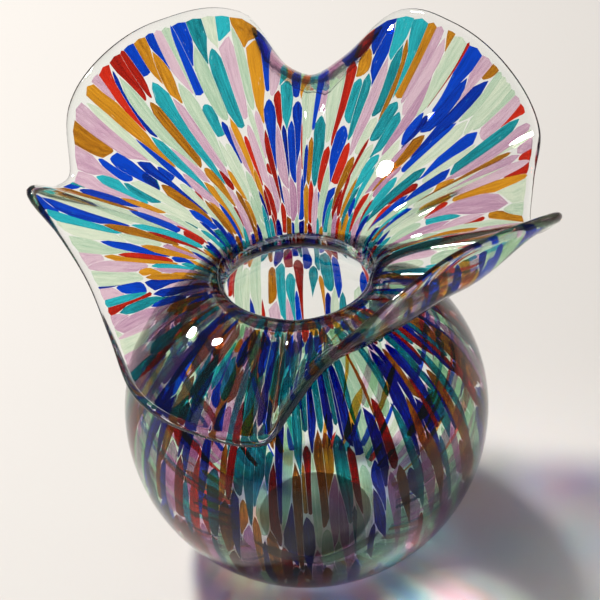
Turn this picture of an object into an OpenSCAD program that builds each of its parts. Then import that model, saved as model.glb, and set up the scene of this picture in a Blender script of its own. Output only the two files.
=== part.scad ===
// Hand blown glass vase: a round bowl, a short neck and a wide ruffled mouth.
// The wall is two gathers of clear glass with chips of coloured glass between them.
// Origin: centre of the foot, where the vase stands. +Z is up, and the lowest
// fold of the mouth faces -Y.

/* [Bowl] */
// Outer radius of the round bowl
bowl_r = 70; // [60:1:80]
// Height of the bowl's centre above the table, less than its radius so that it stands flat
bowl_centre_z = 66; // [60:0.5:68]
// Radius of the flatter arc of the shoulder
shoulder_r = 60; // [54:1:64]

/* [Neck] */
// Outer radius of the neck where it is narrowest
neck_r = 30; // [26:1:34]
// Radius of the curve between the shoulder and the neck
neck_fillet_r = 7; // [5:0.5:10]

/* [Wall] */
// Thickness of the outer gather
outer_t = 1.4; // [1.2:0.1:1.8]
// Thickness of the layer that holds the colour chips
colour_t = 0.9; // [0.8:0.1:1.2]
// Thickness of the inner gather
inner_t = 1.5; // [1.2:0.1:1.8]
// Thickness of the floor of the bowl in all
floor_t = 8; // [7:0.5:10]

/* [Mouth] */
// How far the wall climbs straight up out of the neck before it flares
mouth_rise = 20; // [16:1:24]
// Size of the ruffles, 1 for the full spread
spread = 1; // [0.9:0.02:1.05]

/* [Colour chips] */
// Number of chips around each ring
chips_around = 30; // [24:2:36]
// Thickness of one chip
chip_t = 0.5; // [0.3:0.05:0.5]

/* [Hidden] */

// The lip, anticlockwise from +X: angle, radius, height, and how steeply the wall
// arrives there in degrees (above 0 it climbs, below 0 it droops, over 90 it curls in).
LIP = [
    [2, 85, 143, -10], [9, 89, 153, 5], [20, 100, 161, 30], [36, 106, 172, 35],
    [52, 111, 178, 40], [64, 113, 176, 30], [73, 103, 158, -30], [82, 100, 143, -60],
    [90, 103, 152, -40], [98, 108, 178, 30], [115, 111, 181, 40], [130, 108, 177, 40],
    [142, 103, 168, 30], [153, 91, 153, 10], [161, 93, 153, 10], [169, 97, 162, 30],
    [178, 84, 154, 20], [190, 75, 144, 10], [204, 73, 132, -10], [220, 76, 120, -30],
    [240, 75, 116, -45], [259, 70, 113, -45], [267, 67, 126, -10], [275, 66, 140, 40],
    [288, 65, 154, 80], [302, 64, 162, 100], [320, 67, 167, 105], [333, 77, 168, 90],
    [341, 88, 167, 65], [348, 95, 161, 35], [355, 88, 146, 5]
];

wall_t = outer_t + colour_t + inner_t;
// Depths into the wall, measured from the outside
casing_in = outer_t;
chips_mid = outer_t + colour_t / 2;
lining_out = outer_t + colour_t;

// The shoulder's arc meets the bowl's at the equator, and the neck's curve meets the shoulder's
shoulder_x = bowl_r - shoulder_r;
fillet_x = neck_r + neck_fillet_r;
neck_z = bowl_centre_z + sqrt(pow(shoulder_r + neck_fillet_r, 2) - pow(fillet_x - shoulder_x, 2));
seam_z = floor_t / 2;

round_fn = 180;
mouth_steps = 90;
mouth_rings = 9;
slope_step = 2;
lip_cover = 0.96;

// ---- the lip as a smooth closed curve -------------------------------------------------

lip_count = len(LIP);
function lip_row(i) = LIP[(i + lip_count) % lip_count];
function lip_angle(i) = lip_row(i)[0] + 360 * floor(i / lip_count);
function row_at(a, i = 0) = i + 1 >= lip_count || LIP[i + 1][0] > a ? i : row_at(a, i + 1);
function lip_slope(i, col) =
    (lip_row(i + 1)[col] - lip_row(i - 1)[col]) / (lip_angle(i + 1) - lip_angle(i - 1));
function ease(t, a, b, slope_a, slope_b) =
    (2 * t * t * t - 3 * t * t + 1) * a + (t * t * t - 2 * t * t + t) * slope_a
    + (3 * t * t - 2 * t * t * t) * b + (t * t * t - t * t) * slope_b;
function lip_between(a, i, col) =
    let (gap = lip_angle(i + 1) - lip_angle(i))
    ease((a - lip_angle(i)) / gap, lip_row(i)[col], lip_row(i + 1)[col],
        lip_slope(i, col) * gap, lip_slope(i + 1, col) * gap);
function lip_at(angle, col) =
    let (a = angle < LIP[0][0] ? angle + 360 : angle)
    lip_between(a, row_at(a), col);

// ---- the mouth's wall: one curve from the neck to the lip at each angle -----------------

function bezier(s, p0, p1, p2, p3) =
    pow(1 - s, 3) * p0 + 3 * pow(1 - s, 2) * s * p1 + 3 * (1 - s) * s * s * p2 + s * s * s * p3;
function bezier_dir(s, p0, p1, p2, p3) =
    pow(1 - s, 2) * (p1 - p0) + 2 * (1 - s) * s * (p2 - p1) + s * s * (p3 - p2);
function mouth_frame(angle) =
    let (
        neck = [neck_r, neck_z],
        lip = [
            neck_r + (lip_at(angle, 1) - neck_r) * spread,
            neck_z + (lip_at(angle, 2) - neck_z) * spread
        ],
        steep = lip_at(angle, 3),
        length = norm(lip - neck),
        pull = length * (0.4 + 0.25 * pow(sin(steep), 2))
    )
    [
        neck,
        neck + [0, mouth_rise * length / 80],
        lip - pull * [cos(steep), sin(steep)],
        lip
    ];
function around(angle, p) = [p[0] * cos(angle), p[0] * sin(angle), p[1]];
function mouth_skin(angle, s) =
    let (f = mouth_frame((angle + 360) % 360))
    around(angle, bezier(s, f[0], f[1], f[2], f[3]));
// A point of the wall: s runs from 0 at the neck to 1 at the lip, depth goes in from the outside
function mouth_point(angle, s, depth) =
    let (
        f = mouth_frame(angle),
        up = around(angle, bezier_dir(s, f[0], f[1], f[2], f[3])),
        across = mouth_skin(angle + slope_step, s) - mouth_skin(angle - slope_step, s),
        inward = cross(up, across)
    )
    mouth_skin(angle, s) + depth * inward / norm(inward);

// A ring of glass whose closed section at each angle is the list of [s, depth]
module mouth_ring(section) {
    n = len(section);
    points = [
        for (j = [0:mouth_steps - 1]) for (c = section)
            mouth_point(j * 360 / mouth_steps, c[0], c[1])
    ];
    faces = [
        for (j = [0:mouth_steps - 1]) for (k = [0:n - 1]) for (half = [0, 1])
            let (next = (j + 1) % mouth_steps, up = (k + 1) % n)
            half == 0
                ? [j * n + k, j * n + up, next * n + up]
                : [j * n + k, next * n + up, next * n + k]
    ];
    polyhedron(points = points, faces = faces, convexity = 8);
}

// ---- the bowl and neck: one outline, stepped in by the depth ----------------------------

module bowl_outline(depth, floor_z) {
    lower_r = bowl_r - depth;
    upper_r = shoulder_r - depth;
    intersection() {
        translate([0, floor_z])
            square([bowl_r, neck_z - floor_z]);
        union() {
            intersection() {
                translate([0, bowl_centre_z])
                    circle(r = lower_r, $fn = round_fn);
                square([bowl_r, bowl_centre_z]);
            }
            intersection() {
                translate([shoulder_x, bowl_centre_z])
                    circle(r = upper_r, $fn = round_fn);
                translate([shoulder_x, bowl_centre_z])
                    square([bowl_r, bowl_r]);
            }
            difference() {
                polygon([
                    [0, bowl_centre_z], [shoulder_x, bowl_centre_z],
                    [fillet_x, neck_z], [0, neck_z]
                ]);
                translate([fillet_x, neck_z])
                    circle(r = neck_fillet_r + depth, $fn = round_fn);
            }
        }
    }
}

module bowl_shell(from_depth, to_depth, from_floor, to_floor) {
    rotate_extrude($fn = round_fn)
        difference() {
            bowl_outline(from_depth, from_floor);
            bowl_outline(to_depth, to_floor);
        }
}

// ---- the colour chips ------------------------------------------------------------------

CHIP_COLOURS = 6;
// Shape of a chip: a point towards the neck, full in the middle and round at the other end
CHIP_SHAPE = [[0, -1], [0.8, -0.25], [0.8, 0.55], [0, 1], [-0.8, 0.55], [-0.8, -0.25]];
bowl_rings = [-46, -24, -2, 20, 42];
bowl_chip_half = 9;
mouth_chip_rings = [0.17, 0.4, 0.62, 0.83];
mouth_chip_half = 0.085;
chip_fill = 0.4;

// A point of the bowl's wall at an angle around and a latitude above the equator
function bowl_point(angle, lat, depth) =
    let (
        upper = lat > 0,
        r = (upper ? shoulder_r : bowl_r) - depth,
        x = (upper ? shoulder_x : 0) + r * cos(lat)
    )
    [x * cos(angle), x * sin(angle), bowl_centre_z + r * sin(lat)];
function wall_point(in_mouth, angle, along, depth) =
    in_mouth ? mouth_point((angle + 360) % 360, along, depth) : bowl_point(angle, along, depth);

// Which colour a place gets: neighbours around and along never share one
function chip_colour(ring, j) = (j * 5 + ring * 2 + floor(j / 6) * 3) % CHIP_COLOURS;
function chip_ring_angle(ring, j) = (j + 0.5 * (ring % 2)) * 360 / chips_around;

module chip(in_mouth, angle, along, half_length) {
    n = len(CHIP_SHAPE);
    half_angle = chip_fill * 360 / chips_around;
    top = chips_mid - chip_t / 2;
    bottom = chips_mid + chip_t / 2;
    points = [
        for (depth = [top, bottom]) for (c = CHIP_SHAPE)
            wall_point(in_mouth, angle + c[0] * half_angle, along + c[1] * half_length, depth)
    ];
    strip = [[0, 1, 5], [1, 2, 4], [1, 4, 5], [2, 3, 4]];
    faces = concat(
        [for (f = strip) [f[2], f[1], f[0]]],
        [for (f = strip) [for (i = f) i + n]],
        [for (k = [0:n - 1]) [k, (k + 1) % n, (k + 1) % n + n]],
        [for (k = [0:n - 1]) [k, (k + 1) % n + n, k + n]]
    );
    polyhedron(points = points, faces = faces);
}

module chips_of(colour) {
    for (ring = [0:len(bowl_rings) - 1]) for (j = [0:chips_around - 1])
        if (chip_colour(ring, j) == colour)
            chip(false, chip_ring_angle(ring, j), bowl_rings[ring], bowl_chip_half);
    for (ring = [0:len(mouth_chip_rings) - 1]) for (j = [0:chips_around - 1])
        if (chip_colour(ring + 1, j) == colour)
            chip(true, chip_ring_angle(ring, j), mouth_chip_rings[ring], mouth_chip_half);
}

// ---- sub-parts ---------------------------------------------------------------------------

module inner_gather_bowl() {
    color([0.86, 0.93, 0.9, 0.4])
        bowl_shell(lining_out, wall_t, seam_z, floor_t);
}

module inner_gather_mouth() {
    lining_end = lip_cover - 0.005;
    color([0.86, 0.93, 0.9, 0.4])
        mouth_ring(concat(
            [for (i = [0:mouth_rings]) [i * lining_end / mouth_rings, lining_out]],
            [for (i = [mouth_rings:-1:0]) [i * lining_end / mouth_rings, wall_t]]
        ));
}

// The foot is the bowl's underside, ground flat over the pontil mark
module outer_gather_bowl() {
    color([0.8, 0.9, 0.95, 0.35])
        bowl_shell(0, casing_in, 0, seam_z);
}

// The outer gather folds over the edge of the inner one in a fire polished lip
module outer_gather_mouth() {
    bead = 1 - lip_cover;
    color([0.8, 0.9, 0.95, 0.35])
        mouth_ring(concat(
            [for (i = [0:mouth_rings]) [i * (1 - bead / 2) / mouth_rings, 0]],
            [[1 - bead / 8, wall_t * 0.15], [1, wall_t / 2], [1 - bead / 8, wall_t * 0.85]],
            [[1 - bead / 2, wall_t], [lip_cover, wall_t]],
            [for (i = [mouth_rings:-1:0]) [i * lip_cover / mouth_rings, casing_in]]
        ));
}

module cobalt_chips() { color([0.03, 0.16, 0.75]) chips_of(0); }
module red_chips() { color([0.78, 0.06, 0.04]) chips_of(1); }
module pale_green_chips() { color([0.78, 0.9, 0.76]) chips_of(2); }
module teal_chips() { color([0.02, 0.56, 0.6]) chips_of(3); }
module amber_chips() { color([0.88, 0.5, 0.05]) chips_of(4); }
module lilac_chips() { color([0.8, 0.58, 0.75]) chips_of(5); }

inner_gather_bowl();
inner_gather_mouth();
outer_gather_bowl();
outer_gather_mouth();
cobalt_chips();
teal_chips();
amber_chips();
red_chips();
lilac_chips();
pale_green_chips();
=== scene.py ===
# %% [markdown]
# # A blown glass vase with a ruffled mouth
# We build a vase the way a glass blower does. A small bubble of clear glass is rolled in chips of
# coloured glass, dipped for a second coat of clear glass, blown into a round bowl, and its hot mouth
# is swung open and tugged into waves. Every layer becomes a piece of its own: the lining, the six
# colours of chips, and the casing over them.
#
# First we load the frame. It holds the engineering model, and every piece we make takes the place
# of one of its parts, at the same spot and the same size.

import math
import random

import bpy
import numpy as np
from mathutils import Matrix, Vector


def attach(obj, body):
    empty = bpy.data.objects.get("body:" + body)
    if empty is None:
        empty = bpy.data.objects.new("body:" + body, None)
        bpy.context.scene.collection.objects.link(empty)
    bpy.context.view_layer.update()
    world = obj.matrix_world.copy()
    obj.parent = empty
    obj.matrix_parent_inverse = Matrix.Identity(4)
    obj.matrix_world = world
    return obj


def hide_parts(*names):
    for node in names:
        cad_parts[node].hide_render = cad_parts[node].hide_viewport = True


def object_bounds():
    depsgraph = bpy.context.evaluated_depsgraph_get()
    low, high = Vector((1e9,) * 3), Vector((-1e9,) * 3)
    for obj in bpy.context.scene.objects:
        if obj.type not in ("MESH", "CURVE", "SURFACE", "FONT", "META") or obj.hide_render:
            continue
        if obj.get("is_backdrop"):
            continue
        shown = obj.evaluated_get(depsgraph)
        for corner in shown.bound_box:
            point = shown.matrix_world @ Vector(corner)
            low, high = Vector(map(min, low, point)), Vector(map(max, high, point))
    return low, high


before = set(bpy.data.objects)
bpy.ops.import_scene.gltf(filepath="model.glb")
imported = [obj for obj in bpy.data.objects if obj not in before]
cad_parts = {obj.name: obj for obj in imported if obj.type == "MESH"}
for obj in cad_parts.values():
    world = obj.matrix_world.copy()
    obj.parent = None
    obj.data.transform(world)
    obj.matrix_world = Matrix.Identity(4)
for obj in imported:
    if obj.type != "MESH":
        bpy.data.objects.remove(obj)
low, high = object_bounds()
cad_box = [list(low), list(high)]
print("parts in the frame:", len(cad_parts))

# %% [markdown]
# ## The measurements
# Blender works in metres, so `MM` turns millimetres into metres. The bowl is a ball with a softer
# curve at the shoulder, a flat ground foot, and a small hollow curve where it meets the neck. The
# wall has three layers: the outer coat of clear glass, the thin layer of colour, and the inner coat.

# %% The measurements
MM = 0.001
BOWL_R, BOWL_Z = 70 * MM, 66 * MM
SHOULDER_R = 60 * MM
NECK_R, HOLLOW_R = 30 * MM, 7 * MM
OUTER_T, COLOUR_T, INNER_T = 1.4 * MM, 0.9 * MM, 1.5 * MM
SEAM_Z, FLOOR_Z = 4 * MM, 8 * MM
SEAM_GAP = 0.05 * MM
WALL_T = OUTER_T + COLOUR_T + INNER_T

SHOULDER_X = BOWL_R - SHOULDER_R
HOLLOW_X = NECK_R + HOLLOW_R
NECK_Z = BOWL_Z + math.sqrt((SHOULDER_R + HOLLOW_R) ** 2 - (HOLLOW_X - SHOULDER_X) ** 2)
TURN = math.atan2(NECK_Z - BOWL_Z, HOLLOW_X - SHOULDER_X)
print("neck at", round(NECK_Z / MM, 1), "mm, wall", round(WALL_T / MM, 1), "mm")

# %% [markdown]
# ## The line of the lip
# A ruffled lip has no formula, because a hand made it. We walk once round the vase and note the lip
# where it changes: the angle, how far out it is, how high it is, and how steeply the glass arrives
# there. A smooth curve through those places gives the whole lip.

# %% The line of the lip
LIP = [
    (2, 85, 143, -10), (9, 89, 153, 5), (20, 100, 161, 30), (36, 106, 172, 35),
    (52, 111, 178, 40), (64, 113, 176, 30), (73, 103, 158, -30), (82, 100, 143, -60),
    (90, 103, 152, -40), (98, 108, 178, 30), (115, 111, 181, 40), (130, 108, 177, 40),
    (142, 103, 168, 30), (153, 91, 153, 10), (161, 93, 153, 10), (169, 97, 162, 30),
    (178, 84, 154, 20), (190, 75, 144, 10), (204, 73, 132, -10), (220, 76, 120, -30),
    (240, 75, 116, -45), (259, 70, 113, -45), (267, 67, 126, -10), (275, 66, 140, 40),
    (288, 65, 154, 80), (302, 64, 162, 100), (320, 67, 167, 105), (333, 77, 168, 90),
    (341, 88, 167, 65), (348, 95, 161, 35), (355, 88, 146, 5),
]


def lip_at(angle):
    """How far out, how high and how steep the lip is at each angle, in metres and radians."""
    rows = np.array(LIP, float)
    at = np.concatenate([rows[-2:, 0] - 360, rows[:, 0], rows[:3, 0] + 360])
    seen = np.concatenate([rows[-2:, 1:], rows[:, 1:], rows[:3, 1:]])
    angle = np.asarray(angle, float) % 360
    i = np.searchsorted(at, angle, side="right") - 1
    width = at[i + 1] - at[i]
    t = ((angle - at[i]) / width)[:, None]
    before = (seen[i + 1] - seen[i - 1]) * (width / (at[i + 1] - at[i - 1]))[:, None]
    after = (seen[i + 2] - seen[i]) * (width / (at[i + 2] - at[i]))[:, None]
    found = (
        (2 * t**3 - 3 * t**2 + 1) * seen[i]
        + (t**3 - 2 * t**2 + t) * before
        + (3 * t**2 - 2 * t**3) * seen[i + 1]
        + (t**3 - t**2) * after
    )
    return found[:, 0] * MM, found[:, 1] * MM, np.radians(found[:, 2])


print("places noted round the lip:", len(LIP))

# %% [markdown]
# ## Two rules for where glass is
# Every piece of the wall uses the same two rules. `mouth_at` takes an angle, a share of the way from
# the neck (0) to the lip (1), and a depth below the outside skin. `bowl_at` does the same for the
# bowl, from the edge of the foot (0) to the neck (1). Because the layers share these rules, they fit
# inside one another as closely as the real coats of glass do.
#
# Seen from the side, the mouth's wall is one smooth arc. It leaves the neck straight up, and arrives
# at the lip as steeply as the lip line says.

# %% Where the glass is
def mouth_skin(angle, share):
    """Points on the outside skin of the mouth."""
    out, up, steep = lip_at(angle)
    reach = np.hypot(out - NECK_R, up - NECK_Z)
    pull = reach * (0.4 + 0.25 * np.sin(steep) ** 2)
    near = (1 - share) ** 3
    rise = 3 * (1 - share) ** 2 * share
    lean = 3 * (1 - share) * share**2
    end = share**3
    r = (near + rise) * NECK_R + lean * (out - pull * np.cos(steep)) + end * out
    z = (
        near * NECK_Z
        + rise * (NECK_Z + reach / 4)
        + lean * (up - pull * np.sin(steep))
        + end * up
    )
    turn = np.radians(angle)
    return np.stack([r * np.cos(turn), r * np.sin(turn), z], -1)


def mouth_at(angle, share, depth):
    """Points in the mouth's wall, each moved in from the skin by its depth."""
    angle, share = np.asarray(angle, float), np.asarray(share, float)
    up = mouth_skin(angle, share + 0.001) - mouth_skin(angle, share - 0.001)
    along = mouth_skin(angle + 2, share) - mouth_skin(angle - 2, share)
    inward = np.cross(up, along)
    inward /= np.linalg.norm(inward, axis=-1)[:, None]
    return mouth_skin(angle, share) + inward * np.asarray(depth, float)[:, None]


FOOT_TURN = math.radians(-78)
RUNS = np.array([-FOOT_TURN * BOWL_R, TURN * SHOULDER_R, TURN * HOLLOW_R])


def bowl_at(angle, share, depth):
    """Points in the bowl's wall: the ball, then the shoulder, then the hollow under the neck."""
    run = np.asarray(share, float) * RUNS.sum()
    depth = np.asarray(depth, float)
    ball = FOOT_TURN + run / BOWL_R
    shoulder = (run - RUNS[0]) / SHOULDER_R
    hollow = TURN - (run - RUNS[0] - RUNS[1]) / HOLLOW_R
    which = [run < RUNS[0], run < RUNS[0] + RUNS[1]]
    r = np.select(
        which,
        [(BOWL_R - depth) * np.cos(ball), SHOULDER_X + (SHOULDER_R - depth) * np.cos(shoulder)],
        HOLLOW_X - (HOLLOW_R + depth) * np.cos(hollow),
    )
    z = np.select(
        which,
        [BOWL_Z + (BOWL_R - depth) * np.sin(ball), BOWL_Z + (SHOULDER_R - depth) * np.sin(shoulder)],
        NECK_Z - (HOLLOW_R + depth) * np.sin(hollow),
    )
    turn = np.radians(np.asarray(angle, float))
    return np.stack([r * np.cos(turn), r * np.sin(turn), z], -1)


print("length of the bowl's wall:", round(RUNS.sum() / MM), "mm")

# %% [markdown]
# ## Clear glass
# Clear glass is never quite plain. It holds faint cords, like syrup stirred into water, which bend
# light a little, and it is a touch greener where it is thick. Both gathers use this effect, so it is
# made once as a node group. The group gives a `Cord` value for the colour and a `Height` for a bump.
#
# The two coats of glass melted into one. Where one coat touches the other, light goes straight on,
# so those hidden faces are plain see-through. Only the faces that meet the air bend light, with
# the index of soda glass. Lamps shine through by a Light Path switch, so the colours also fall on
# the table.

# %% Clear glass
AIR_TO_GLASS = 1.47


def make_group(name, inputs, outputs):
    """An empty node group with the sockets that we name."""
    group = bpy.data.node_groups.new(name, "ShaderNodeTree")
    for label, kind, value in inputs:
        made = group.interface.new_socket(label, in_out="INPUT", socket_type=kind)
        if value is not None:
            made.default_value = value
    for label, kind in outputs:
        group.interface.new_socket(label, in_out="OUTPUT", socket_type=kind)
    return group, group.nodes.new("NodeGroupInput"), group.nodes.new("NodeGroupOutput")


def cord_group():
    """The faint cords: a slow, stretched noise."""
    group, start, end = make_group(
        "glass_cords",
        [("Vector", "NodeSocketVector", None), ("Cord Size", "NodeSocketFloat", 40.0)],
        [("Cord", "NodeSocketFloat"), ("Height", "NodeSocketFloat")],
    )
    link = group.links.new
    stretch = group.nodes.new("ShaderNodeMapping")
    stretch.inputs["Scale"].default_value = (1, 1, 0.3)
    wave = group.nodes.new("ShaderNodeTexNoise")
    wave.inputs["Detail"].default_value = 1.5
    wave.inputs["Distortion"].default_value = 0.6
    fine = group.nodes.new("ShaderNodeMapRange")
    fine.inputs["From Min"].default_value = 0.35
    fine.inputs["From Max"].default_value = 0.7
    link(start.outputs["Vector"], stretch.inputs["Vector"])
    link(stretch.outputs["Vector"], wave.inputs["Vector"])
    link(start.outputs["Cord Size"], wave.inputs["Scale"])
    link(wave.outputs["Fac"], fine.inputs["Value"])
    link(fine.outputs["Result"], end.inputs["Cord"])
    link(wave.outputs["Fac"], end.inputs["Height"])
    return group


def let_lamps_through(mat, shader, colour):
    """Rays from lamps pass the glass straight, tinted with the colour."""
    nodes, link = mat.node_tree.nodes, mat.node_tree.links.new
    passed = nodes.new("ShaderNodeBsdfTransparent")
    passed.inputs["Color"].default_value = (*colour, 1)
    path = nodes.new("ShaderNodeLightPath")
    switch = nodes.new("ShaderNodeMixShader")
    link(path.outputs["Is Shadow Ray"], switch.inputs[0])
    link(shader.outputs["BSDF"], switch.inputs[1])
    link(passed.outputs["BSDF"], switch.inputs[2])
    link(switch.outputs["Shader"], nodes["Material Output"].inputs["Surface"])


def clear_glass(name, deep, bump):
    """Clear glass with cords. deep is its colour in the thick of a cord."""
    mat = bpy.data.materials.new(name)
    mat.use_nodes = True
    nodes, link = mat.node_tree.nodes, mat.node_tree.links.new
    glass = nodes["Principled BSDF"]
    glass.inputs["Transmission Weight"].default_value = 1
    glass.inputs["Roughness"].default_value = 0
    glass.inputs["IOR"].default_value = AIR_TO_GLASS
    place = nodes.new("ShaderNodeTexCoord")
    cords = nodes.new("ShaderNodeGroup")
    cords.node_tree = CORDS
    tint = nodes.new("ShaderNodeMix")
    tint.data_type = "RGBA"
    tint.inputs["A"].default_value = (1, 1, 1, 1)
    tint.inputs["B"].default_value = (*deep, 1)
    wavy = nodes.new("ShaderNodeBump")
    wavy.inputs["Strength"].default_value = bump
    wavy.inputs["Distance"].default_value = 1 * MM
    link(place.outputs["Object"], cords.inputs["Vector"])
    link(cords.outputs["Cord"], tint.inputs["Factor"])
    link(tint.outputs["Result"], glass.inputs["Base Color"])
    link(cords.outputs["Height"], wavy.inputs["Height"])
    link(wavy.outputs["Normal"], glass.inputs["Normal"])
    let_lamps_through(mat, glass, (0.80, 0.83, 0.84))
    return mat


def seam_glass(name):
    """Glass against glass: light goes straight on, with hardly a tint."""
    mat = bpy.data.materials.new(name)
    mat.use_nodes = True
    nodes, link = mat.node_tree.nodes, mat.node_tree.links.new
    nodes.remove(nodes["Principled BSDF"])
    passed = nodes.new("ShaderNodeBsdfTransparent")
    passed.inputs["Color"].default_value = (0.99, 1, 0.995, 1)
    link(passed.outputs["BSDF"], nodes["Material Output"].inputs["Surface"])
    return mat


CORDS = cord_group()
casing_glass = clear_glass("clear_casing", (0.93, 0.97, 0.95), 0.25)
lining_glass = clear_glass("clear_lining", (0.95, 0.97, 0.96), 0.2)
fused_glass = seam_glass("fused_seam")
print("clear glass made:", casing_glass.name, lining_glass.name, fused_glass.name)

# %% [markdown]
# ## Turn the bowls
# A bowl is round, so we draw half of its outline and spin it, like clay on a wheel. The outline
# starts in the middle of the underside, runs up the outside to the neck, crosses the wall there, and
# comes back down the inside. To draw it, we squeeze a plane into a single point and pull that point
# along, one short edge at a time.

# %% Turn the bowls
def bowl_line(depth, floor):
    """Half of the bowl's outline, from the middle of the floor up to the neck."""
    start = math.asin((floor - BOWL_Z) / (BOWL_R - depth))
    first = (start - FOOT_TURN) * BOWL_R / RUNS.sum()
    edge = (BOWL_R - depth) * math.cos(start)
    flat = [(edge * t, floor) for t in (0, 0.3, 0.6, 0.85, 0.97)]
    wall = bowl_at(np.zeros(97), np.linspace(first, 1, 97), np.full(97, depth))
    return flat + [(p[0], p[2]) for p in wall]


def start_piece(name):
    """Names the piece that was just added."""
    bpy.context.object.name = name
    bpy.context.object.data.name = name
    return bpy.context.object


def spin_piece(name, line, turns=240):
    """Draws a line of (distance out, height) from point to point, and spins it into a solid."""
    bpy.ops.object.select_all(action="DESELECT")
    bpy.ops.mesh.primitive_plane_add(size=MM, location=(0, 0, 0))
    piece = start_piece(name)
    bpy.ops.object.mode_set(mode="EDIT")
    bpy.ops.mesh.select_all(action="SELECT")
    bpy.ops.mesh.merge(type="CENTER")
    first = Vector((line[0][0], 0, line[0][1]))
    bpy.ops.transform.translate(value=first)
    here = first
    for out, up in line[1:]:
        there = Vector((out, 0, up))
        bpy.ops.mesh.extrude_region_move(TRANSFORM_OT_translate={"value": there - here})
        here = there
    bpy.ops.mesh.select_all(action="SELECT")
    bpy.ops.mesh.spin(steps=turns, angle=math.tau, center=(0, 0, 0), axis=(0, 0, 1))
    bpy.ops.mesh.select_all(action="SELECT")
    bpy.ops.mesh.remove_doubles(threshold=0.002 * MM)
    bpy.ops.mesh.normals_make_consistent(inside=False)
    bpy.ops.object.mode_set(mode="OBJECT")
    bpy.ops.object.shade_smooth_by_angle(angle=math.radians(40))
    return piece


def spin_bowl(name, skin, back, under, inside, air, seam):
    """A bowl between two depths, with floors at the heights under and inside."""
    outer, inner = bowl_line(skin, under), bowl_line(back, inside)
    piece = spin_piece(name, outer + inner[::-1])
    piece.data.materials.append(air)
    piece.data.materials.append(seam)
    return piece


def give_glass(piece, faces_air):
    """Slot 0 goes to the faces that meet the air, and slot 1 to the fused ones."""
    for face, air in zip(piece.data.polygons, faces_air):
        face.material_index = 0 if air else 1


outer_bowl = spin_bowl("clear_casing_bowl", 0, OUTER_T, 0, SEAM_Z, casing_glass, fused_glass)
inner_bowl = spin_bowl(
    "clear_lining_bowl",
    WALL_T - INNER_T,
    WALL_T,
    SEAM_Z + SEAM_GAP,
    FLOOR_Z,
    lining_glass,
    fused_glass,
)
middle = Vector((0, 0, BOWL_Z))
for piece, looks_out in ((outer_bowl, True), (inner_bowl, False)):
    airy = []
    for face in piece.data.polygons:
        outward = face.normal.dot(face.center - middle) > 0
        at_neck = face.normal.z > 0.9 and face.center.z > NECK_Z - 0.1 * MM
        airy.append(outward == looks_out and not at_neck)
    give_glass(piece, airy)
    print(piece.name, len(airy), "faces,", sum(airy), "of them meet the air")

# %% [markdown]
# ## Swing the mouth open
# A torus is a closed tube bent round in a circle, with no seams or poles to close. That makes it the
# right lump to start the mouth from. We count how many points go round its tube, and write down
# where each of them belongs in the wall: up the outside, round the lip, and back down the inside.
# Each entry has the share of the way up, how much of the rounded lip is added, the depth, and
# whether the glass is fused there.
#
# The outer coat is folded over the lip, as the flame rounds it, so the lining ends inside it.

# %% Swing the mouth open
HALF = WALL_T / 2
LIP_ROOM = 1.1 * HALF
CASING_END, LINING_END = 0.995, 0.994
CLIMB = np.linspace(0, 1, 64)


def ring_piece(name, stations, air, seam, turns=256):
    """A torus whose points are moved to their stations in the mouth's wall."""
    count = len(stations)
    bpy.ops.object.select_all(action="DESELECT")
    bpy.ops.mesh.primitive_torus_add(
        major_segments=turns, minor_segments=count, major_radius=0.08, minor_radius=0.02
    )
    piece = start_piece(name)
    angle = np.repeat(np.arange(turns) * 360 / turns, count)
    climb, lip, depth, fused = (np.tile(column, turns) for column in zip(*stations))
    out, up, _ = lip_at(angle)
    reach = np.hypot(out - NECK_R, up - NECK_Z)
    places = mouth_at(angle, climb * (1 - LIP_ROOM / reach) + lip * HALF / reach, depth)
    piece.data.vertices.foreach_set("co", places.astype(np.float32).ravel())
    piece.data.update()
    piece.data.materials.append(air)
    piece.data.materials.append(seam)
    airy = []
    for face in piece.data.polygons:
        two = sorted({v % count for v in face.vertices})
        lower = two[-1] if two == [0, count - 1] else two[0]
        airy.append(not stations[lower][3])
    give_glass(piece, airy)
    bpy.ops.object.shade_smooth_by_angle(angle=math.radians(50))
    return piece


up_outside = [(c, 0, 0, False) for c in CLIMB]
round_lip = [
    (1, math.cos(math.radians(t)), HALF * (1 + math.sin(math.radians(t))), False)
    for t in range(-75, 76, 15)
]
over_lip = [(1, 0, WALL_T, False), (CASING_END, 0, WALL_T, True)]
down_seam = [(c * CASING_END, 0, OUTER_T, True) for c in CLIMB[::-1]]
outer_mouth = ring_piece(
    "clear_casing_mouth", up_outside + round_lip + over_lip + down_seam, casing_glass, fused_glass
)

up_seam = [(c * LINING_END, 0, WALL_T - INNER_T, True) for c in CLIMB]
down_inside = [(c * LINING_END, 0, WALL_T, c == 0) for c in CLIMB[::-1]]
inner_mouth = ring_piece("clear_lining_mouth", up_seam + down_inside, lining_glass, fused_glass)
for piece in (outer_mouth, inner_mouth):
    print(piece.name, len(piece.data.polygons), "faces")

# %% [markdown]
# ## Scatter the chips
# The blower rolls the hot bubble over a plate of chips, and the chips cover it like a crowd: each
# one fills the room that its neighbours leave. Blowing and swinging then stretch them towards the
# lip, so they end up as long drops with a round head and a thin tail that points to the neck.
#
# We copy that crowd. Chips stand in staggered rows, each pushed a little off its place. A chip costs
# more the further you are from it, quickly past its head and slowly along its tail, and each spot of
# glass goes to the chip that costs least. At one height the border between two chips is then a
# single number, so a chip is just a left and a right edge at each height.

# %% Scatter the chips
KINDS = {  # how much room a chip takes, and whether its colour is strong
    "cobalt": (0.08, True),
    "teal": (0.12, True),
    "amber": (0.11, True),
    "red": (0.00, True),
    "lilac": (0.20, False),
    "pale_green": (0.20, False),
}


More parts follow.
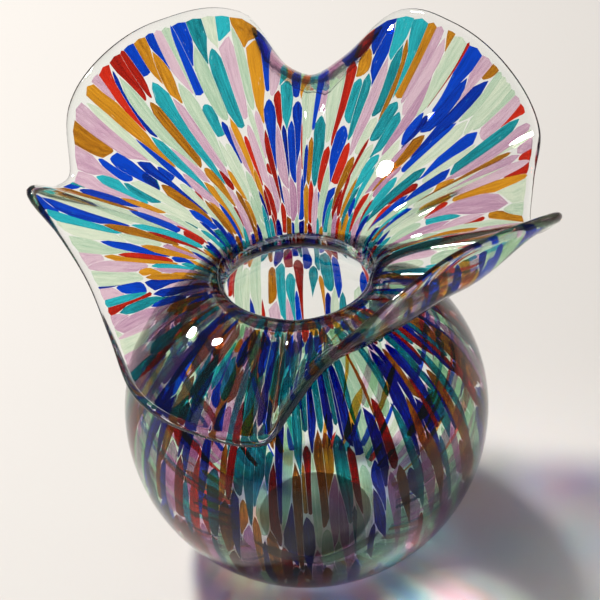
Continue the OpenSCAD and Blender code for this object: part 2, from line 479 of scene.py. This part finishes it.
def scatter(around, rows, seed, shares):
    """Chips in a grid of squares. shares says, row by row, how common each colour is."""
    pick = random.Random(seed)
    chips = []
    for row in range(-1, rows + 1):
        share = shares[min(max(row, 0), rows - 1)]
        for step in range(around):
            kind = pick.choices(list(KINDS), weights=share)[0]
            size, strong = KINDS[kind]
            chips.append(
                dict(
                    kind=kind,
                    x=step + 0.5 * (row % 2) + pick.uniform(-0.4, 0.4),
                    y=row + 0.5 + pick.uniform(-0.48, 0.48),
                    size=size + pick.uniform(-0.13, 0.13),
                    head=pick.uniform(0.32, 0.48) if strong else pick.uniform(0.55, 0.85),
                    tail=pick.uniform(1.0, 1.8) if strong else pick.uniform(0.9, 1.4),
                    shade=pick.random(),
                )
            )
    return chips


def cost(chip, y):
    """What a spot at height y, straight above or below the chip, costs it."""
    away = (y - chip["y"]) / (chip["head"] if y > chip["y"] else chip["tail"])
    return 0.42 * away**2 * max(1, abs(away)) ** 1.5 - chip["size"]


def outline(chip, near, rows, looks=30):
    """The chip's middle and half width at a row of heights, from its tail to its head."""
    found = []
    low_end = max(chip["y"] - 1.9 * chip["tail"], 0)
    high_end = min(chip["y"] + 1.9 * chip["head"], rows)
    for y in np.linspace(low_end, high_end, looks):
        own = cost(chip, y)
        left, right = -9, 9
        for gap, other in near:
            border = (gap * gap + cost(other, y) - own) / (2 * gap)
            if gap > 0:
                right = min(right, border)
            else:
                left = max(left, border)
        if right > left:
            found.append((y, chip["x"] + (left + right) / 2, (right - left) / 2))
        elif found and y > chip["y"]:
            break
        else:
            found = []
    return np.array(found)


def crowd(around, rows, seed, shares):
    """Every chip with its outline."""
    chips = scatter(around, rows, seed, shares)
    squares = {}
    for chip in chips:
        key = (math.floor(chip["x"]) % around, math.floor(chip["y"]))
        squares.setdefault(key, []).append(chip)
    made = []
    for chip in chips:
        column, row = math.floor(chip["x"]), math.floor(chip["y"])
        near = []
        for dx in range(-3, 4):
            for dy in range(-2, 3):
                for other in squares.get(((column + dx) % around, row + dy), ()):
                    gap = other["x"] - chip["x"]
                    gap -= around * round(gap / around)
                    if other is not chip and abs(gap) > 0.001:
                        near.append((gap, other))
        line = outline(chip, near, rows)
        if len(line) > 3:
            made.append((chip, line))
    return made


MOUTH_AROUND, MOUTH_ROWS = 112, 5
BOWL_AROUND, BOWL_ROWS = 108, 6
AT_NECK, STRONG, MIXED, PALE = (
    (34, 18, 14, 20, 7, 7),
    (28, 15, 17, 15, 11, 14),
    (23, 13, 17, 12, 16, 19),
    (13, 5, 11, 11, 27, 33),
)
mouth_crowd = crowd(MOUTH_AROUND, MOUTH_ROWS, 3, [AT_NECK, STRONG, MIXED, MIXED, MIXED])
bowl_crowd = crowd(BOWL_AROUND, BOWL_ROWS, 5, [PALE, PALE, PALE, MIXED, AT_NECK, AT_NECK])
print("chips in the mouth:", len(mouth_crowd), "and in the bowl:", len(bowl_crowd))

# %% [markdown]
# ## Melt the chips into the wall
# A chip becomes a small pillow, three points wide and eight long, with a front and a back. Its tail
# and its head close to a point and a round end. It lies in the middle of the wall, in the thin space
# between the two coats. A hair of clear glass stays between neighbours, which is the pale line that
# you see round each colour.
#
# Chips in the bowl stay thick, so they are darker, and they grow darker towards the neck, partly for
# the thicker glass and partly as painted shade. Chips near the lip were stretched thin. The far side
# of the bowl, towards the lamp, is painted paler as painted light, and some pale chips are left out
# there, so that clear windows show. Each point stores that as `shade`, and a map called `chip` that
# runs along the chip, for the finish to use.

# %% Melt the chips into the wall
LENGTHS = 0.5 - 0.5 * np.cos(np.pi * np.arange(1, 9) / 9)
CHIP_T = 0.7 * MM
MID = OUTER_T + COLOUR_T / 2
MOUTH_HAIR, BOWL_HAIR = 0.05 * MM, 0.05 * MM
CHIPS_START, CHIPS_END = 0.01, 0.9945
SHORTEST = 0.15
# Between these shares of the way round lies the far side of the bowl, towards the lamp. Its chips are
# painted paler there as painted light.
PAINTED_LIT_FAR_SIDE = (0.1, 0.4)


def mouth_place(x, y, depth):
    angle = np.asarray(x) * 360 / MOUTH_AROUND
    out, up, _ = lip_at(angle)
    end = CHIPS_END - LIP_ROOM / np.hypot(out - NECK_R, up - NECK_Z)
    climb = CHIPS_START + (end - CHIPS_START) * np.clip(np.asarray(y) / MOUTH_ROWS, 0, 1) ** 1.25
    return mouth_at(angle, climb, depth)


def bowl_place(x, y, depth):
    up = 0.13 + 0.867 * np.clip(np.asarray(y) / BOWL_ROWS, 0, 1)
    return bowl_at(np.asarray(x) * 360 / BOWL_AROUND, up, depth)


def chip_grid(line, gap, trim, at_lip):
    """x, y, depth and (across, along) of a chip's points: eight rows of six, then both tips."""
    ys, mids, halves = line[:, 0], line[:, 1], line[:, 2]
    start, end = ys[0] + trim, ys[-1] - trim
    points = []
    for t in LENGTHS:
        y = start + (end - start) * t
        source = ys[0] + (ys[-1] - ys[0]) * t
        half = max(np.interp(source, ys, halves) - gap(y), 0.012)
        if not at_lip:
            half *= math.sqrt(min(1, (1 - t) / 0.1))
        for side in (-1, 1):
            for across in (-1, 0, 1):
                lift = side * CHIP_T / 2 * (1 if across == 0 else 0.5)
                x = np.interp(source, ys, mids) + across * half
                points.append((x, y, MID + lift, across / 2 + 0.5, t))
    points.append((mids[0], start, MID, 0.5, 0))
    points.append((mids[-1], end, MID, 0.5, 1))
    return points


def chip_faces():
    """The pillow's faces, for points in the order that chip_grid gives them."""
    faces = []
    for row in range(7):
        a, b = row * 6, row * 6 + 6
        for k in (0, 1):
            faces.append((a + k, a + k + 1, b + k + 1, b + k))
            faces.append((a + 3 + k, b + 3 + k, b + 4 + k, a + 4 + k))
        faces.append((a, b, b + 3, a + 3))
        faces.append((a + 2, a + 5, b + 5, b + 2))
    for tip, first, way in ((48, 0, 1), (49, 42, -1)):
        ring = [first + k for k in (0, 1, 2, 5, 4, 3)]
        for a, b in zip(ring, ring[1:] + ring[:1]):
            faces.append((a, tip, b) if way > 0 else (b, tip, a))
    return faces


def hair(place, width, around):
    """How much of a grid square a hair of clear glass takes at height y."""

    def gap(y):
        at = place([0.0], [y], [MID])[0]
        return width / (math.tau * math.hypot(at[0], at[1]) / around)

    return gap


def melt_in(kind):
    """One mesh with all the chips of a colour."""
    corners, faces, shades, maps = [], [], [], []
    pattern = chip_faces()
    # The last numbers of each job say how dark its chips are at the first row, at 0.4 of the rows and
    # at the last row. In the mouth they grow paler towards the lip, where the glass was stretched
    # thin. In the bowl they grow darker towards the neck, partly for thicker glass and partly as
    # painted shade.
    jobs = (
        (mouth_crowd, mouth_place, hair(mouth_place, MOUTH_HAIR, MOUTH_AROUND), (0.5, 0.15, 0)),
        (bowl_crowd, bowl_place, hair(bowl_place, BOWL_HAIR, BOWL_AROUND), (0.2, 0.5, 1.1)),
    )
    for made, place, gap, thick in jobs:
        in_mouth = place is mouth_place
        rows = MOUTH_ROWS if in_mouth else BOWL_ROWS
        for chip, line in made:
            if chip["kind"] != kind or line[-1, 0] - line[0, 0] < SHORTEST:
                continue
            turned = chip["x"] / BOWL_AROUND
            painted_lit_far_side = not in_mouth and PAINTED_LIT_FAR_SIDE[0] < turned < PAINTED_LIT_FAR_SIDE[1]
            if painted_lit_far_side and not KINDS[kind][1] and chip["shade"] > 0.5:
                continue  # this pale chip is left out, so a clear window shows: painted light on the side towards the lamp
            at_lip = in_mouth and line[-1, 0] > MOUTH_ROWS - 0.05
            points = chip_grid(line, gap, 0.004, at_lip)
            x, y, depth, across, along = map(np.array, zip(*points))
            first = len(corners)
            corners.extend(place(x, y, depth).tolist())
            faces.extend([tuple(first + k for k in f) for f in pattern])
            # Darker where the chip is thick, with painted shade towards the bowl's neck, and painted
            # paler as painted light on the far side of the bowl, towards the lamp.
            thickness_and_painted_light = np.interp(y / rows, (0, 0.4, 1), thick) - (0.3 if painted_lit_far_side else 0)
            shades.extend(np.clip(thickness_and_painted_light + 0.7 * chip["shade"] - 0.1, 0, 1).tolist())
            maps.extend(zip(across + chip["shade"] * 40, along))
    mesh = bpy.data.meshes.new(kind + "_glass_chips")
    mesh.from_pydata(corners, [], faces)
    mesh.attributes.new("shade", "FLOAT", "POINT").data.foreach_set("value", shades)
    which = np.empty(len(mesh.loops), np.int32)
    mesh.loops.foreach_get("vertex_index", which)
    mesh.uv_layers.new(name="chip").data.foreach_set("uv", np.array(maps)[which].ravel())
    piece = bpy.data.objects.new(kind + "_glass_chips", mesh)
    bpy.context.scene.collection.objects.link(piece)
    mesh.polygons.foreach_set("use_smooth", [True] * len(mesh.polygons))
    return piece


chips = {kind: melt_in(kind) for kind in KINDS}
for kind, piece in chips.items():
    print(piece.name, len(piece.data.polygons), "faces")

# %% [markdown]
# ## Coloured glass
# A chip of coloured glass is full of pulled streaks, and a few tiny bubbles were pulled out with
# them. All six colours have them, so the streaks are a node group too. It reads the `chip` map, where
# one direction runs along the chip, and stretches a noise in that direction.
#
# Each colour then has a thin and a thick tone. The stored shade picks the tone of the whole chip,
# and the streaks move it up and down inside the chip. The chips are fused into the wall, so they
# have an index of 1, and a trace of haze from their streaks.

# %% Coloured glass
def streak_group():
    """Streaks that run along the chip, and a few tiny bubbles."""
    group, start, end = make_group(
        "pulled_streaks",
        [("Vector", "NodeSocketVector", None), ("Shade", "NodeSocketFloat", 0.5)],
        [("Tone", "NodeSocketFloat"), ("Bubble", "NodeSocketFloat")],
    )
    link = group.links.new
    pulled = group.nodes.new("ShaderNodeMapping")
    pulled.inputs["Scale"].default_value = (3.5, 1.6, 1)
    noise = group.nodes.new("ShaderNodeTexNoise")
    noise.inputs["Scale"].default_value = 1.3
    noise.inputs["Detail"].default_value = 4
    noise.inputs["Distortion"].default_value = 0.4
    change = group.nodes.new("ShaderNodeMath")
    change.operation = "MULTIPLY_ADD"
    change.inputs[1].default_value = 1.5
    change.inputs[2].default_value = -0.75
    tone = group.nodes.new("ShaderNodeMath")
    tone.operation = "ADD"
    tone.use_clamp = True
    dots = group.nodes.new("ShaderNodeTexVoronoi")
    dots.inputs["Scale"].default_value = 5
    small = group.nodes.new("ShaderNodeMapRange")
    small.inputs["From Min"].default_value = 0.13
    small.inputs["From Max"].default_value = 0.05
    link(start.outputs["Vector"], pulled.inputs["Vector"])
    link(pulled.outputs["Vector"], noise.inputs["Vector"])
    link(noise.outputs["Fac"], change.inputs[0])
    link(change.outputs["Value"], tone.inputs[0])
    link(start.outputs["Shade"], tone.inputs[1])
    link(tone.outputs["Value"], end.inputs["Tone"])
    link(start.outputs["Vector"], dots.inputs["Vector"])
    link(dots.outputs["Distance"], small.inputs["Value"])
    link(small.outputs["Result"], end.inputs["Bubble"])
    return group


STREAKS = streak_group()
TONES = {
    "cobalt": ((0.00, 0.07, 0.72), (0.00, 0.00, 0.18)),
    "teal": ((0.03, 0.56, 0.66), (0.00, 0.12, 0.17)),
    "amber": ((0.86, 0.38, 0.02), (0.22, 0.05, 0.00)),
    "red": ((0.76, 0.03, 0.01), (0.20, 0.00, 0.00)),
    "lilac": ((0.86, 0.62, 0.75), (0.50, 0.23, 0.43)),
    "pale_green": ((0.84, 0.93, 0.76), (0.42, 0.66, 0.48)),
}


def coloured_glass(kind):
    """Glass of one colour. It sits inside clear glass, so it bends no light of its own."""
    thin, thick = TONES[kind]
    mat = bpy.data.materials.new(kind + "_glass")
    mat.use_nodes = True
    nodes, link = mat.node_tree.nodes, mat.node_tree.links.new
    glass = nodes["Principled BSDF"]
    glass.inputs["Transmission Weight"].default_value = 0.98
    glass.inputs["Roughness"].default_value = 0
    glass.inputs["IOR"].default_value = 1.0
    along = nodes.new("ShaderNodeUVMap")
    along.uv_map = "chip"
    shade = nodes.new("ShaderNodeAttribute")
    shade.attribute_name = "shade"
    streaks = nodes.new("ShaderNodeGroup")
    streaks.node_tree = STREAKS
    tone = nodes.new("ShaderNodeMix")
    tone.data_type = "RGBA"
    tone.inputs["A"].default_value = (*thin, 1)
    tone.inputs["B"].default_value = (*thick, 1)
    bubble = nodes.new("ShaderNodeMix")
    bubble.data_type = "RGBA"
    bubble.inputs["B"].default_value = (*[0.5 + 0.5 * c for c in thin], 1)
    link(along.outputs["UV"], streaks.inputs["Vector"])
    link(shade.outputs["Fac"], streaks.inputs["Shade"])
    link(streaks.outputs["Tone"], tone.inputs["Factor"])
    link(tone.outputs["Result"], bubble.inputs["A"])
    link(streaks.outputs["Bubble"], bubble.inputs["Factor"])
    link(bubble.outputs["Result"], glass.inputs["Base Color"])
    let_lamps_through(mat, glass, [math.sqrt((a + b) / 2) for a, b in zip(thin, thick)])
    return mat


for kind, piece in chips.items():
    piece.data.materials.append(coloured_glass(kind))
    print(piece.data.materials[0].name, "on", piece.name)

# %% [markdown]
# ## Put the pieces in the frame
# Each piece now takes the place of its part in the frame and rides on its one body. Nothing in a
# vase moves, so they all ride together.

# %% Put the pieces in the frame
TAKES = [
    (outer_bowl, "outer_gather_bowl", "clear_casing"),
    (outer_mouth, "outer_gather_mouth", "clear_casing"),
    (inner_bowl, "inner_gather_bowl", "clear_lining"),
    (inner_mouth, "inner_gather_mouth", "clear_lining"),
]
for kind, piece in chips.items():
    TAKES.append((piece, kind + "_chips", kind + "_glass"))
for piece, part, finish in TAKES:
    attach(piece, "root")
    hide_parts(part)
    print(piece.name, "takes the place of", part)

# %% [markdown]
# ## A pale table and a soft lamp
# Clear glass shows what is round it, so it needs a pale table to shine through, a lamp behind it to
# throw the colours forward, and a dim room so that the edges draw themselves dark.

# %% A pale table and a soft lamp
bpy.ops.object.select_all(action="DESELECT")
bpy.ops.mesh.primitive_plane_add(size=4, location=(0, 0, 0))
table = start_piece("table")
table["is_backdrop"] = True
top = bpy.data.materials.new("pale_table")
top.use_nodes = True
paint = top.node_tree.nodes["Principled BSDF"]
paint.inputs["Roughness"].default_value = 0.6
grain = top.node_tree.nodes.new("ShaderNodeTexNoise")
grain.inputs["Scale"].default_value = 6
grain_tone = top.node_tree.nodes.new("ShaderNodeMix")
grain_tone.data_type = "RGBA"
grain_tone.inputs["A"].default_value = (0.62, 0.59, 0.56, 1)
grain_tone.inputs["B"].default_value = (0.66, 0.63, 0.60, 1)
top.node_tree.links.new(grain.outputs["Fac"], grain_tone.inputs["Factor"])
top.node_tree.links.new(grain_tone.outputs["Result"], paint.inputs["Base Color"])
table.data.materials.append(top)

room = bpy.data.worlds.new("dim_room")
room.use_nodes = True
room.node_tree.nodes["Background"].inputs["Color"].default_value = (0.9, 0.95, 1, 1)
room.node_tree.nodes["Background"].inputs["Strength"].default_value = 0.17
bpy.context.scene.world = room


round_lamp = bpy.data.lights.new("sun_lamp", "AREA")
round_lamp.shape = "DISK"
round_lamp.size = 0.18
round_lamp.energy = 33
round_lamp.color = (1, 0.98, 0.95)
lamp = bpy.data.objects.new("sun_lamp", round_lamp)
bpy.context.scene.collection.objects.link(lamp)
lamp.location = (-0.52, 0.67, 1.40)
towards = Vector((0, 0, 0.1)) - Vector((-0.52, 0.67, 1.40))
lamp.rotation_euler = towards.to_track_quat("-Z", "Y").to_euler()
lamp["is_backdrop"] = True
print("lamp", round(towards.length, 2), "m from the vase")

# %% [markdown]
# ## The camera
# We look down into the mouth from the front, about 39 degrees above the table, through a long lens.
# The camera leans a little to one side, so the vase does too. Glass lets light through many layers,
# so the render is allowed many bounces.

# %% The camera
tilt, lean = math.radians(39), math.radians(-4.5)
forward = Vector((0, math.cos(tilt), -math.sin(tilt)))
level = Vector((1, 0, 0))
overhead = Vector((0, math.sin(tilt), math.cos(tilt)))
right = level * math.cos(lean) + overhead * math.sin(lean)
above = overhead * math.cos(lean) - level * math.sin(lean)
camera = bpy.data.objects.new("camera", bpy.data.cameras.new("camera"))
bpy.context.scene.collection.objects.link(camera)
place = Matrix((right, above, -forward)).transposed().to_4x4()
place.translation = Vector((0, 0, 0.126)) - forward * 0.6
camera.matrix_world = place
camera.data.lens = 99
camera.data.sensor_width = 36
camera.data.clip_start = 0.01
camera.data.shift_x, camera.data.shift_y = 0.005, -0.027
camera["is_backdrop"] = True
scene = bpy.context.scene
scene.camera = camera
scene.cycles.max_bounces = 48
scene.cycles.transmission_bounces = 48
scene.cycles.transparent_max_bounces = 64
scene.view_settings.view_transform = "Standard"
print("camera at", [round(v, 2) for v in camera.location])

# %% [markdown]
# ## The size
# The finished vase has to stay inside the frame's box. We print both boxes, one under the other.

# %% The size
low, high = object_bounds()
made_box = [list(low), list(high)]
for label, sides in (("frame", cad_box), ("vase ", made_box)):
    print(label, [[round(v / MM, 1) for v in corner] for corner in sides])
